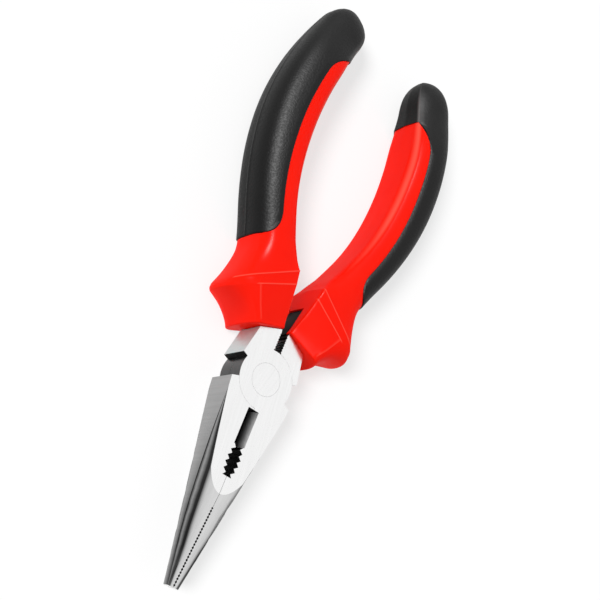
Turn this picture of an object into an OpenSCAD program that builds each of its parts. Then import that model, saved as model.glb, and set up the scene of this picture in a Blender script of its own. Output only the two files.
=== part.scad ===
// Long nose pliers with a lap joint, a side cutter slot, a pipe grip and two-material grips.
// The pliers lie flat and closed. +Y runs from the pivot to the handles and +Z is the pivot axis.
// The origin is the centre of the rivet's rear end, in the ground rear face of the joint.
// The two forged halves are the same shape: the rear half is the front half turned over about +Y.

/* [Joint] */
// Thickness of the joint, from its rear face to its front face
joint_thickness = 11.3; // [9:0.1:14]
// Radius of the two lapped discs
joint_radius = 9.6; // [9:0.1:11]
// Diameter of the rivet's flush ends
rivet_end_d = 10.4; // [9:0.1:12]
// Diameter of the rivet's shank
rivet_shank_d = 7.6; // [6:0.1:8.6]
// Depth of the cone under each rivet end
rivet_cone_h = 1.8; // [1:0.1:2.5]
// Angle of the jaw's stop shoulder below the X axis
jaw_stop_angle = 21; // [18:0.5:24]
// Angle of the tang's stop shoulder above the X axis
tang_stop_angle = 20; // [18:0.5:22]

/* [Jaws] */
// Reach of the jaws from the pivot to the tip
jaw_length = 67; // [60:1:80]
// Half width of the closed jaws at the stop shoulder
jaw_root_w = 11.6; // [11:0.1:13]
// Half width of the closed jaws where the nose begins
jaw_waist_w = 7.1; // [6:0.1:8]
// Half width of the closed jaws at the tip
jaw_tip_w = 2; // [1.6:0.1:3]
// Thickness of the jaws at the tip
jaw_tip_thickness = 2.9; // [2:0.1:4]
// Distance from the pivot to the end of the flat ground face
nose_start = 38; // [34:1:42]
// Radius of the crown across the nose
nose_crown_r = 23; // [18:1:40]
// Distance from the pivot to where the conical corner of the jaws begins
corner_start = 8; // [6:0.5:12]
// Flat left on the corner of the tip by the conical corner
tip_corner_cut = 0.2; // [0.1:0.1:0.6]
// Pitch of the fine teeth
tooth_pitch = 0.95; // [0.8:0.05:1.4]
// Depth of a fine tooth in each jaw
tooth_depth = 0.35; // [0.2:0.05:0.6]
// Number of fine teeth in each jaw
tooth_count = 26; // [15:1:26]

/* [Cutter and pipe grip] */
// Distance from the pivot to the cutter slot
cutter_start = 10.4; // [10.2:0.1:11.6]
// Length of the cutter slot
cutter_length = 12; // [9:0.5:13]
// Half width of the cutter slot at the ground face
cutter_half_w = 2; // [1.5:0.1:2.5]
// Width of the land on each cutting edge
cutter_land = 0.3; // [0.1:0.05:0.6]
// Length of the pipe grip
pipe_length = 10; // [8:0.5:11]
// Half width of the pipe grip at its ends
pipe_end_w = 1.7; // [1.2:0.1:2]
// Bulge of the pipe grip at its middle
pipe_bulge = 0.9; // [0.4:0.1:1.2]
// Number of coarse teeth on each side of the pipe grip
pipe_teeth = 5; // [3:1:7]
// Depth of a coarse tooth
pipe_tooth_depth = 1.1; // [0.3:0.1:1.1]

/* [Tangs] */
// Half width of the two tangs at their stop shoulders
tang_root_w = 11; // [10.6:0.1:12]
// Distance between the toothed inner edges of the tangs
crimp_gap = 3; // [2:0.1:4]
// Pitch of the crimping teeth between the tangs
crimp_pitch = 0.9; // [0.7:0.05:1.4]
// Depth of a crimping tooth
crimp_depth = 0.3; // [0.2:0.05:0.5]
// Width of the bar inside the grip
bar_w = 6.2; // [5:0.1:6.6]
// Thickness of the bar inside the grip
bar_thickness = 9.4; // [7:0.1:9.8]
// Length of the bar inside the grip, along its bend
bar_length = 92; // [60:1:100]
// Height of the pad that the bar carries in the guard's window
pad_height = 1.2; // [0.6:0.1:1.4]

/* [Grip path] */
// Distance from the X axis to the middle of the grip's rim
rim_y = 15.8; // [15:0.1:18]
// Distance from the Y axis to the middle of the grip's rim
rim_x = 5.2; // [5:0.1:6]
// Lean of the handle at the rim
handle_lean = 23; // [21:0.5:25]
// Straight run of the handle from the rim to the bow
straight_run = 38.8; // [34:0.2:42]
// Radius of the handle's bow
bow_radius = 99; // [90:1:110]
// Length of the grip along its bend
grip_length = 126; // [118:1:134]

/* [Grip body] */
// Half width of the grip at its belly
belly_w = 8.8; // [7.5:0.1:10]
// Half thickness of the grip at its belly
belly_thickness = 9.7; // [8:0.1:11]
// Half width of the grip at its neck
neck_w = 7.4; // [6.5:0.1:8.5]
// Half thickness of the grip at its neck
neck_thickness = 9.4; // [8:0.1:11]
// Half width of the grip near its end
end_w = 7.2; // [6:0.1:8.5]
// Half thickness of the grip near its end
end_thickness = 6.8; // [6:0.1:9]
// Length of the rounded end
end_dome = 9; // [6:0.5:12]
// Squareness of the grip's section on its outer side, where 2 is an ellipse
outer_squareness = 2.9; // [2.4:0.1:3.6]
// Squareness of the grip's section on its inner side, where the crease is
inner_squareness = 3.5; // [2.4:0.1:4.5]

/* [Guard] */
// Reach of the rim on the inner side
rim_inner = 4.2; // [4:0.1:4.6]
// Reach of the rim on the outer side
rim_outer = 9.2; // [6:0.1:10]
// Half thickness of the rim at its ridge
rim_thickness = 9.4; // [8:0.1:10.5]
// Half thickness of the rim at its inner corners
rim_corner = 6.8; // [6.4:0.1:8]
// Length of the window in the guard's inner side, which bares the tang
window_length = 11; // [6:0.5:14]
// Wall of the sleeve in front of and behind the window
window_margin = 0.6; // [0.4:0.1:1]
// Reach of the guard's lip on the outer side
lip_reach = 17; // [12:0.5:20]
// Distance from the rim to the guard's lip
lip_along = 11.5; // [9:0.5:13]
// Distance from the rim to the guard's shoulder
shoulder_along = 18; // [16:0.5:20]
// Reach of the guard's shoulder on the inner side
shoulder_inner = 8.4; // [7:0.1:9]
// Half thickness of the guard at its shoulder
shoulder_thickness = 10.6; // [9.6:0.1:12]
// Squareness of the guard's section
guard_squareness = 6; // [4:0.5:8]
// Fall of the guard's faces from their ridge to the outer side
guard_fall = 0.8; // [0.2:0.1:1.5]

/* [Overmould] */
// Distance from the rim to the lower lip of the overmould
mould_start = 29; // [27:0.5:34]
// Distance from the rim to where the overmould closes round the grip
mould_close = 107; // [100:1:110]
// Thickness of the overmould
mould_wall = 2; // [1.6:0.1:2.6]
// Height that the overmould stands proud of the sleeve
mould_proud = 0.4; // [0.2:0.1:0.8]
// Angle from the outer side at which the overmould ends, along the handle
mould_angle = 94; // [90:1:110]

/* [Clearances] */
// Radial clearance of the rivet in the front half, which turns on it
run_clearance = 0.05; // [0.02:0.01:0.1]
// Radial clearance of the rivet in the rear half, where it is swaged fast
seat_clearance = 0.01; // [0.01:0.01:0.03]
// Gap between the lapped faces
lap_clearance = 0.1; // [0.05:0.05:0.2]
// Gap round the lapped discs
disc_clearance = 0.25; // [0.15:0.05:0.4]
// Gap between the closed jaws
jaw_gap = 0.1; // [0.05:0.05:0.3]
// Gap between the bar and its pocket in the sleeve
pocket_clearance = 0.1; // [0.05:0.05:0.2]
// Gap between the overmould and the sleeve
bond_clearance = 0.06; // [0.04:0.01:0.1]
// Gap between the pad on the bar and the guard's window
pad_clearance = 0.1; // [0.05:0.05:0.2]
// Gap between the step of the tang and the rim of the sleeve
rim_clearance = 0.2; // [0.1:0.05:0.4]

/* [Hidden] */
$fn = 96;
steel_front = "gainsboro";
steel_rear = "lightgray";
steel_rivet = "whitesmoke";
sleeve_red = "red";
mould_black = "#2e2e30";

mid_z = joint_thickness / 2;
lap_z = mid_z + lap_clearance / 2;
over = 1;

// Places along the closing line of the jaws
teeth_start = -jaw_length + tooth_count * tooth_pitch;
cutter_end = -(cutter_start + cutter_length);
pipe_end = cutter_end - pipe_length;
jaw_steps = 12;
pipe_steps = 2 * pipe_teeth;

// The handle's path: a straight run that leans outwards, then a bow back inwards
path_turn = 180 / PI / bow_radius;
bow_x = rim_x + straight_run * sin(handle_lean) - bow_radius * cos(handle_lean);
bow_y = rim_y + straight_run * cos(handle_lean) + bow_radius * sin(handle_lean);
bow_steps = 16;
bow_end_step = 20;

function bow_angle(s) = max(0, s - straight_run) * path_turn - handle_lean;
function path_point(s) = s <= straight_run
    ? [rim_x + s * sin(handle_lean), rim_y + s * cos(handle_lean)]
    : [bow_x + bow_radius * cos(bow_angle(s)), bow_y + bow_radius * sin(bow_angle(s))];
function path_outward(s) = [cos(bow_angle(s)), sin(bow_angle(s))];

// Places of the grip's sections between the named ones
flank_along = 0.4 * lip_along;
throat_run = 4;
throat_along = shoulder_along + throat_run;
waist_along = 0.32 * grip_length;
belly_along = 0.58 * grip_length;
heel_along = 0.76 * grip_length;

// How the guard's sections grow from the rim: reach and thickness
rim_fall = rim_thickness - rim_corner;
flank_fall = 0.8 * rim_fall;
lip_fall = 0.5 * rim_fall;
shoulder_fall = 0.3 * rim_fall;
flank_growth = 1.2;
flank_rise = 0.3;
flank_squareness = guard_squareness - 1;
lip_rise = 0.7;
lip_squareness = 3.4;
shoulder_drop = 2.6;
shoulder_squareness = 3;
throat_growth = 3.4;
throat_rise = 0.4;

// Stations of the grip's section: place along the path, inner reach, outer reach, half thickness,
// fall to the inner side, fall to the outer side, inner squareness, outer squareness
function plain_station(s, w, thickness) =
    [s, w, w, thickness, 0, 0, inner_squareness, outer_squareness];
stations = [
    [0, rim_inner, rim_outer, rim_thickness, rim_fall, guard_fall, guard_squareness, guard_squareness],
    [flank_along, rim_inner + flank_growth, rim_outer + flank_growth, rim_thickness + flank_rise,
        flank_fall, guard_fall, guard_squareness, flank_squareness],
    [lip_along, (rim_inner + shoulder_inner) / 2, lip_reach, rim_thickness + lip_rise,
        lip_fall, guard_fall, guard_squareness, lip_squareness],
    [shoulder_along, shoulder_inner, lip_reach - shoulder_drop, shoulder_thickness,
        shoulder_fall, guard_fall / 2, guard_squareness, shoulder_squareness],
    [throat_along, neck_w + throat_rise, neck_w + throat_growth, neck_thickness + throat_rise,
        0, 0, inner_squareness, outer_squareness],
    plain_station(mould_start, neck_w, neck_thickness),
    plain_station(waist_along, neck_w, neck_thickness),
    plain_station(belly_along, belly_w, belly_thickness),
    plain_station(heel_along, belly_w, belly_thickness),
    [grip_length - end_dome, end_w, end_w, end_thickness, 0, 0, outer_squareness, outer_squareness]
];
last_station = len(stations) - 1;

function station_index(s, i = 0) =
    i >= last_station - 1 || s < stations[i + 1][0] ? i : station_index(s, i + 1);
function slope_at(i, c) = i <= 0 || i >= last_station ? 0
    : (stations[i + 1][c] - stations[i - 1][c]) / (stations[i + 1][0] - stations[i - 1][0]);
function hermite(a, b, ma, mb, u) = a * (1 + 2 * u) * (1 - u) * (1 - u) + b * u * u * (3 - 2 * u)
    + ma * u * (1 - u) * (1 - u) - mb * u * u * (1 - u);
function station_value(s, c) =
    let (i = station_index(s), span = stations[i + 1][0] - stations[i][0])
    let (u = min(1, (s - stations[i][0]) / span))
    hermite(stations[i][c], stations[i + 1][c], span * slope_at(i, c), span * slope_at(i + 1, c), u);

// The rounded end shrinks the section like a quarter ellipse
function dome(s) = s <= grip_length - end_dome ? 1
    : sqrt(max(0, 1 - pow((s - grip_length + end_dome) / end_dome, 2)));

function rounded(v, squareness) = sign(v) * pow(abs(v), 2 / squareness);

// One point of the grip's skin: place along the path, angle from the outer side, outset
function skin(s, angle, outset = 0) =
    let (inner = station_value(s, 1), outer = station_value(s, 2), d = dome(s))
    let (side = cos(angle) < 0 ? 0 : 1, q = station_value(s, 6 + side))
    let (u = rounded(cos(angle), q), w = rounded(sin(angle), q))
    let (across = (outer - inner) / 2 + u * ((outer + inner) / 2 * d + outset))
    let (half = (station_value(s, 3) - station_value(s, 4 + side) * abs(u)) * d + outset)
    let (p = path_point(s) + across * path_outward(s))
    [p[0], p[1], mid_z + half * w];
function spine(s) = let (p = path_point(s)) [p[0], p[1], mid_z];

// The overmould's edge starts as a rounded lip, runs along the handle and closes at the inner crease
lip_angle = 40;
crease_angle = 146;
edge_run = 9;
lip_roundness = 2.2;
function share(u) = max(0, min(1, u));
function ease(u) = let (v = share(u)) v * v * (3 - 2 * v);
function corner(u) = pow(1 - pow(1 - share(u), lip_roundness), 1 / lip_roundness);
function edge_angle(s) = s < mould_start
    ? mould_angle + (lip_angle - mould_angle) * ease((s - shoulder_along) / (mould_start - shoulder_along))
    : lip_angle + (mould_angle - lip_angle) * corner((s - mould_start) / edge_run)
        + (crease_angle - mould_angle) * ease((s - mould_close + edge_run) / edge_run);

function spread(a, b, n) = [for (i = [0:n - 1]) a + (b - a) * i / (n - 1)];
covered_n = 13;
bare_n = 19;
edge_play = 2.5;
edge_slant = 2;
lip_step = 0.3;
end_tip = 0.15;
bar_shoulder = 0.4;
inset = mould_wall - mould_proud;
guard_rings = 18;
edge_rings = 6;
run_rings = 14;
run_margin = 1.3 * edge_run;
end_rings = 10;
// Places of the rings under and in the overmould, closer together at its two ends
mould_places = concat(
    [for (u = spread(0, 1, edge_rings)) mould_start + edge_run * u * u],
    spread(mould_start + run_margin, mould_close - run_margin, run_rings),
    [for (u = spread(1, 0, edge_rings)) mould_close - edge_run * u]
);

function covered(s, outset, half) = [for (a = spread(-half, half, covered_n)) skin(s, a, outset)];
function bare(s, outset, half) = [for (a = spread(half, 360 - half, bare_n)) skin(s, a, outset)];

// A closed skin over rings of equal length, with a fan over each end from its hub
function tube_faces(n, rings) = [
    for (r = [0:rings - 2], i = [0:n - 1], half = [0, 1])
        let (a = r * n + i, b = r * n + (i + 1) % n)
        half == 0 ? [a, b, b + n] : [a, b + n, a + n]
];
function fan_faces(hub, ring, flip) = [
    for (i = [0:len(ring) - 1])
        let (a = ring[i], b = ring[(i + 1) % len(ring)]) flip ? [hub, a, b] : [hub, b, a]
];
function count_from(start, n) = [for (i = [0:n - 1]) start + i];

// Fine teeth along a closing edge: a root and a crest for each tooth, from low to high y
function teeth(x, depth, start, pitch, count) = [
    for (i = [0:count - 1], k = [0, 1]) [x + (k == 0 ? 0 : depth), start + (i + 0.5 * k) * pitch]
];

// Outer edge of the right jaw: a quadratic curve through the root, the waist and the tip
function jaw_edge(y) =
    let (a = -jaw_length, b = -nose_start, c = jaw_root_y)
    jaw_tip_w * (y - b) * (y - c) / ((a - b) * (a - c))
    + jaw_waist_w * (y - a) * (y - c) / ((b - a) * (b - c))
    + jaw_root_w * (y - a) * (y - b) / ((c - a) * (c - b));
stop_inner_r = joint_radius - over;
jaw_root_y = -jaw_root_w * tan(jaw_stop_angle);
tang_root_y = tang_root_w * tan(tang_stop_angle);

// Half width of the pipe grip, with its coarse teeth, at a share u of its length
function pipe_half_w(u, k) = pipe_end_w + pipe_bulge * sin(180 * u) - (k % 2) * pipe_tooth_depth;

module jaw_plan() {
    lip = jaw_gap / 2;
    polygon(concat(
        [[lip, -jaw_length]],
        teeth(lip, tooth_depth, -jaw_length + tooth_pitch / 4, tooth_pitch, tooth_count),
        [[lip, teeth_start], [lip, pipe_end]],
        [for (k = [0:pipe_steps]) [pipe_half_w(k / pipe_steps, k), pipe_end + k / pipe_steps * pipe_length]],
        [[lip, cutter_end], [lip, -cutter_start], [lip, 0]],
        [stop_inner_r * [cos(jaw_stop_angle), -sin(jaw_stop_angle)]],
        [for (i = [0:jaw_steps])
            let (y = jaw_root_y + (-jaw_length - jaw_root_y) * i / jaw_steps) [jaw_edge(y), y]]
    ));
}

module tang_plan() {
    rim_drop = tan(handle_lean);
    step = rim_clearance / cos(handle_lean);
    inner = crimp_gap / 2;
    outer = rim_x + (bar_w / 2 + bar_shoulder) / cos(handle_lean);
    top = rim_y - step + (rim_x - inner) * rim_drop;
    count = floor((top - joint_radius - crimp_pitch) / crimp_pitch);
    polygon(concat(
        [[inner, 0], [inner, joint_radius]],
        teeth(inner, -crimp_depth, joint_radius + crimp_pitch / 2, crimp_pitch, count),
        [[inner, top], [outer, rim_y - step - (outer - rim_x) * rim_drop]],
        [[tang_root_w, tang_root_y], stop_inner_r * [cos(tang_stop_angle), sin(tang_stop_angle)]]
    ));
}

// The bar of the tang inside the grip, or its pocket when it is grown by a clearance
module tang_bar(grow = 0) {
    half_w = bar_w / 2 + grow;
    height = bar_thickness + 2 * grow;
    places = concat([-over], spread(straight_run, bar_length, bow_steps));
    tip = path_point(bar_length);
    out = path_outward(bar_length);
    onward = [-out[1], out[0]];
    translate([0, 0, mid_z - height / 2]) linear_extrude(height) polygon(concat(
        [for (s = places) path_point(s) + half_w * path_outward(s)],
        [for (a = [bow_end_step:bow_end_step:180 - bow_end_step])
            tip + half_w * (cos(a) * out + sin(a) * onward)],
        [for (i = [len(places) - 1:-1:0]) path_point(places[i]) - half_w * path_outward(places[i])]
    ));
}

// The pad on the bar's inner side, which fills the floor of the guard's window
module window_pad() {
    height = bar_thickness - 2 * window_margin - 2 * pad_clearance;
    translate([rim_x, rim_y, mid_z - height / 2]) rotate(-handle_lean)
        translate([-bar_w / 2 - pad_height, -rim_clearance, 0])
            cube([pad_height + over, window_length - pad_clearance + rim_clearance, height]);
}

// The conical corner of the nose, coaxial with the closing line
module nose_cone() {
    root_r = norm([jaw_edge(-corner_start), mid_z]);
    tip_r = norm([jaw_tip_w, jaw_tip_thickness / 2]) - tip_corner_cut;
    rise = (root_r - tip_r) / (jaw_length - corner_start);
    translate([0, -jaw_length, mid_z]) rotate([-90, 0, 0])
        cylinder(r1 = tip_r, r2 = tip_r + rise * (jaw_length + joint_radius), h = jaw_length + joint_radius);
}

// The crowned taper of the nose: a round bar that tilts from the flat face down to the tip
module nose_crown(side) {
    drop = (joint_thickness - jaw_tip_thickness) / 2;
    tilt = atan(drop / (jaw_length - nose_start));
    reach = jaw_length + nose_crown_r;
    translate([0, -nose_start, mid_z + side * mid_z]) rotate([side * tilt, 0, 0])
        translate([0, 0, -side * nose_crown_r]) rotate([90, 0, 0])
            cylinder(r = nose_crown_r, h = 2 * reach, center = true);
}

// The cutter's V slot in one half: a bevel from each ground face to the land on the closing line
module cutter_bevels() {
    low = (joint_thickness - cutter_land) / 2;
    high = (joint_thickness + cutter_land) / 2;
    lip = jaw_gap / 2;
    translate([0, -cutter_start, 0]) rotate([90, 0, 0]) linear_extrude(cutter_length) {
        polygon([[lip, high], [cutter_half_w, joint_thickness], [cutter_half_w, joint_thickness + over],
            [-over, joint_thickness + over], [-over, high]]);
        polygon([[lip, low], [cutter_half_w, 0], [cutter_half_w, -over], [-over, -over], [-over, low]]);
    }
}

// Bore for the rivet: shank and one cone, opening towards +Z
module rivet_bore(clearance) {
    translate([0, 0, -over]) cylinder(d = rivet_shank_d + 2 * clearance, h = joint_thickness + 2 * over);
    translate([0, 0, joint_thickness - rivet_cone_h])
        cylinder(d1 = rivet_shank_d + 2 * clearance, d2 = rivet_end_d + 2 * clearance, h = rivet_cone_h);
}

// One forged half, as the front half: right jaw, front disc, left tang
module forged_half(clearance) {
    difference() {
        union() {
            difference() {
                union() {
                    intersection() {
                        linear_extrude(joint_thickness) jaw_plan();
                        nose_cone();
                        nose_crown(1);
                        nose_crown(-1);
                    }
                    mirror([1, 0, 0]) linear_extrude(joint_thickness) tang_plan();
                }
                translate([0, 0, -over]) cylinder(r = joint_radius + disc_clearance, h = lap_z + over);
                translate([0, 0, lap_z - over]) cylinder(r = joint_radius - over, h = mid_z + 2 * over);
            }
            translate([0, 0, lap_z]) cylinder(r = joint_radius, h = joint_thickness - lap_z);
            mirror([1, 0, 0]) tang_bar();
            mirror([1, 0, 0]) window_pad();
        }
        cutter_bevels();
        rivet_bore(clearance);
    }
}

module front_half() {
    color(steel_front) forged_half(run_clearance);
}

module rear_half() {
    color(steel_rear) translate([0, 0, joint_thickness]) rotate([0, 180, 0]) forged_half(seat_clearance);
}

module pivot_rivet() {
    waist = joint_thickness - 2 * rivet_cone_h;
    color(steel_rivet) {
        cylinder(d1 = rivet_end_d, d2 = rivet_shank_d, h = rivet_cone_h);
        translate([0, 0, rivet_cone_h]) cylinder(d = rivet_shank_d, h = waist);
        translate([0, 0, rivet_cone_h + waist])
            cylinder(d1 = rivet_shank_d, d2 = rivet_end_d, h = rivet_cone_h);
    }
}

// The opening in the guard's inner side, level with the bar
module guard_window() {
    height = bar_thickness - 2 * window_margin;
    translate([rim_x, rim_y, mid_z - height / 2]) rotate(-handle_lean)
        translate([-2 * shoulder_inner, -over, 0]) cube([2 * shoulder_inner, window_length + over, height]);
}

// The red sleeve of the right grip, with the seat that the overmould lies in
module grip_sleeve() {
    guard_s = spread(0, mould_start - bond_clearance - lip_step, guard_rings);
    seat_s = [for (s = mould_places) s - bond_clearance];
    n = covered_n + bare_n;
    rings = concat(
        [for (s = guard_s) let (e = edge_angle(s) + edge_play)
            concat(covered(s, 0, e - edge_slant), bare(s, 0, e))],
        [for (s = seat_s) let (e = edge_angle(s + bond_clearance) + edge_play)
            concat(covered(s, -inset - bond_clearance, e - edge_slant), bare(s, 0, e))]
    );
    count = len(rings);
    points = concat([for (r = rings, p = r) p], [spine(0), spine(mould_close - bond_clearance)]);
    faces = concat(
        tube_faces(n, count),
        fan_faces(count * n, count_from(0, n), false),
        fan_faces(count * n + 1, count_from((count - 1) * n, n), true)
    );
    difference() {
        polyhedron(points, faces);
        tang_bar(pocket_clearance);
        guard_window();
    }
}

// The black overmould of the right grip: a shell over the outer side that closes into the rounded end
module grip_overmould() {
    end_span = grip_length - end_tip - mould_close;
    end_s = [for (u = spread(0, 1, end_rings)) mould_close + end_span * sin(90 * u)];
    c = covered_n;
    n = 2 * c;
    shell = [for (s = mould_places) let (e = edge_angle(s))
        concat(covered(s, mould_proud, e), [for (i = [c - 1:-1:0]) covered(s, -inset, e)[i]])];
    shells = len(shell);
    full = c + bare_n - 2;
    bare_ring = [for (s = end_s) [for (i = [1:bare_n - 2]) bare(s, mould_proud, edge_angle(s))[i]]];
    ends = [for (k = [0:len(end_s) - 1]) k == 0 ? bare_ring[0]
        : concat(covered(end_s[k], mould_proud, edge_angle(end_s[k])), bare_ring[k])];
    last = (shells - 1) * n;
    first_bare = shells * n;
    closing = concat(count_from(last, c), count_from(first_bare, bare_n - 2));
    next = first_bare + bare_n - 2;
    hub = next + (len(end_s) - 1) * full;
    points = concat([for (r = shell, p = r) p], [for (r = ends, p = r) p],
        [spine(mould_close), spine(grip_length)]);
    seat_ring = concat([last], [for (i = [n - 1:-1:c]) last + i], [last + c - 1],
        count_from(first_bare, bare_n - 2));
    faces = concat(
        [for (r = [0:shells - 2], i = [0:n - 1], half = [0, 1])
            let (a = r * n + i, b = r * n + (i + 1) % n) half == 0 ? [a, b, b + n] : [a, b + n, a + n]],
        [for (i = [0:c - 2], half = [0, 1]) half == 0 ? [i, n - 1 - i, n - 2 - i] : [i, n - 2 - i, i + 1]],
        fan_faces(hub, seat_ring, false),
        [for (i = [0:full - 1], half = [0, 1])
            let (j = (i + 1) % full, a = closing[i], b = closing[j])
            half == 0 ? [a, b, next + j] : [a, next + j, next + i]],
        [for (r = [0:len(end_s) - 3], i = [0:full - 1], half = [0, 1])
            let (a = next + r * full + i, b = next + r * full + (i + 1) % full)
            half == 0 ? [a, b, b + full] : [a, b + full, a + full]],
        fan_faces(hub + 1, count_from(next + (len(end_s) - 2) * full, full), true)
    );
    polyhedron(points, faces);
}

module right_grip_sleeve() {
    color(sleeve_red) grip_sleeve();
}

module right_grip_overmould() {
    color(mould_black) grip_overmould();
}

module left_grip_sleeve() {
    color(sleeve_red) mirror([1, 0, 0]) grip_sleeve();
}

module left_grip_overmould() {
    color(mould_black) mirror([1, 0, 0]) grip_overmould();
}

front_half();
rear_half();
pivot_rivet();
left_grip_sleeve();
left_grip_overmould();
right_grip_sleeve();
right_grip_overmould();
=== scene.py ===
# %% [markdown]
# # Long nose pliers
# A pair of long nose pliers has seven pieces: two forged halves, the rivet they turn on, and on each
# handle a rigid red sleeve with a soft black overmould. The construction model already gives their true
# places and sizes, so this lesson loads it as a fixed frame and models the finished pieces around it.

# %% Load the frame
import math

import bpy
import numpy as np
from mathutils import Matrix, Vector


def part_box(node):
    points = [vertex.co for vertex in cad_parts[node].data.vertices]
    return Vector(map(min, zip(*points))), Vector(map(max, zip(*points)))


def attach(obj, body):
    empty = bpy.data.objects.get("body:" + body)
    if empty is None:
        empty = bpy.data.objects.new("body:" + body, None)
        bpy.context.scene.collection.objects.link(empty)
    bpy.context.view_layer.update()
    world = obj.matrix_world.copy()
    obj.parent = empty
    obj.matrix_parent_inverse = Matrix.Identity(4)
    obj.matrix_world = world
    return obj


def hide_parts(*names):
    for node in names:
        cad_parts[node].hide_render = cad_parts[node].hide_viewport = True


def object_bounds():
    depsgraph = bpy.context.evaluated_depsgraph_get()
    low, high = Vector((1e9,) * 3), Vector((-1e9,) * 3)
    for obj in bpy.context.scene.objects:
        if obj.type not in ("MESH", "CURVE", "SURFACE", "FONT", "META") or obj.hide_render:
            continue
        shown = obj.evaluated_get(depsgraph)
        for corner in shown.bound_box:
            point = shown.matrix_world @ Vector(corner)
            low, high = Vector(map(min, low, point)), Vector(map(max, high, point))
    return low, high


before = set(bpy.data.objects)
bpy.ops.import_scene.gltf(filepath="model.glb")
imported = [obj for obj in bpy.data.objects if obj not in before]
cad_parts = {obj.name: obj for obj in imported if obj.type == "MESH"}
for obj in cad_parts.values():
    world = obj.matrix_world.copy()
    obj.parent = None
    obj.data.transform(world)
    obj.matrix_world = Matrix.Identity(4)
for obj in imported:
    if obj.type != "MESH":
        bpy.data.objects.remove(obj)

MM = 0.001
cad_low, cad_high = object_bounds()
scene = bpy.context.scene

# %% [markdown]
# ## Camera
# The pliers are seen from the jaw side, from the left and from well above, with the tool turned upright
# in the picture. A camera can be aimed with a tracking constraint, but the turn about its own axis matters
# here, so the camera gets its place and its three angles directly.

# %% Add the camera
CAMERA_PLACE = (-0.15177, -0.10810, 0.27794)
CAMERA_TURN = (10.051, -36.370, 25.419)
CAMERA_LENS = 63.41
SENSOR_WIDTH = 36.0

bpy.ops.object.camera_add(location=CAMERA_PLACE, rotation=[math.radians(a) for a in CAMERA_TURN])
camera = bpy.context.object
camera.data.lens = CAMERA_LENS
camera.data.sensor_width = SENSOR_WIDTH
scene.camera = camera
scene.view_settings.view_transform = "Standard"
print("camera at", [round(c, 3) for c in camera.location])

# %% [markdown]
# ## Floor
# The pliers lie on a plain white table. A plane much larger than the tool hides its own edges from the
# camera, and it lies exactly as high as the lowest point of the grips.

# %% Add the floor
FLOOR_SIZE = 12.0

bpy.ops.object.select_all(action="DESELECT")
bpy.ops.mesh.primitive_plane_add(size=FLOOR_SIZE, location=(0, 0, cad_low[2]))
floor = bpy.context.object
floor.name = "floor"
print("floor at z", round(cad_low[2], 5))

# %% [markdown]
# ## Nodes in a few words
# Every material below is a small network of nodes. It could be drawn by hand in the node editor, and a few
# helpers keep it just as readable in code. One adds a node and joins it to the nodes before it, one does
# sums, one starts a material and one gives a grey. The last one tells the rays that show a surface, straight
# on, in a mirror or through glass, from the rays that only carry its light.

# %% Node helpers
def add_node(tree, kind, values=None, **settings):
    """A new node. settings are its properties. values feed its inputs: plain values, or sockets to join."""
    node = tree.nodes.new(kind)
    for name, value in settings.items():
        setattr(node, name, value)
    for name, value in (values or {}).items():
        if isinstance(value, bpy.types.NodeSocket):
            tree.links.new(value, node.inputs[name])
        else:
            node.inputs[name].default_value = value
    return node


def maths(tree, operation, *values):
    """The result of a sum of one or two sockets or numbers."""
    return add_node(tree, "ShaderNodeMath", dict(enumerate(values)), operation=operation).outputs[0]


def new_material(name):
    """A new material, its node tree and the Principled shader that it starts with."""
    material = bpy.data.materials.new(name)
    material.use_nodes = True
    return material, material.node_tree, material.node_tree.nodes["Principled BSDF"]


def grey(level, tint=1.0):
    """A grey, or with a tint below 1 a cooler one."""
    level = min(1.0, level)
    return (level * tint, level, level, 1)


def seen_directly(tree):
    """A socket that is 1 for camera, mirror and glass rays, and 0 for the others."""
    ray = add_node(tree, "ShaderNodeLightPath").outputs
    mirror_or_glass = maths(tree, "MAXIMUM", ray["Is Glossy Ray"], ray["Is Transmission Ray"])
    return maths(tree, "MAXIMUM", ray["Is Camera Ray"], mirror_or_glass)


print("node helpers ready")

# %% [markdown]
# ## Studio light
# Polished tools are photographed in a white tent: the steel looks white because it mirrors the tent. So the
# world is white for the camera and for mirror rays, and dimmer as a source of light. A photographer shades
# each lamp with flags, and here light linking does that. Two lamps give the red sleeves their plain light,
# two more draw only highlights, on the sleeves and on the overmoulds, and a sun for the table alone draws
# the soft shadow.

# %% World
TENT_LIGHT = 0.55

world = bpy.data.worlds.new("light_tent")
scene.world = world
world.use_nodes = True
tent = world.node_tree
seen = seen_directly(tent)
level = add_node(tent, "ShaderNodeMapRange", {"Value": seen, "To Min": TENT_LIGHT, "To Max": 1.0})
tent.links.new(level.outputs[0], tent.nodes["Background"].inputs["Strength"])
tent.nodes["Background"].inputs["Color"].default_value = grey(1)
print("tent light", TENT_LIGHT)

# %% Lamps
# kind, place, size in metres or radians, strength and what it lights
LAMPS = {
    "red_lamp": ("AREA", (-0.44, 0.33, 0.80), 0.25, 4.8, "sleeves"),
    "spot_lamp": ("AREA", (-0.14, 0.44, 0.90), 0.22, 8.0, "sleeves"),
    "fill_lamp": ("AREA", (-0.55, -0.45, 0.50), 0.50, 0.8, "sleeves"),
    "rubber_lamp": ("AREA", (-0.37, 0.33, 0.84), 0.50, 30.0, "overmoulds"),
    "table_lamp": ("SUN", (-0.66, -0.24, 0.70), 0.30, 3.4, "table"),
}
PLAIN_LIGHT_ONLY = ("red_lamp", "fill_lamp")
HIGHLIGHT_ONLY = ("spot_lamp", "rubber_lamp")


def aim_at_joint(lamp):
    """Turn a lamp so that it looks at the joint, which is at the origin."""
    x, y, z = lamp.location
    lamp.rotation_euler = (math.atan2(math.hypot(x, y), z), 0, math.atan2(x, -y))


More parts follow.
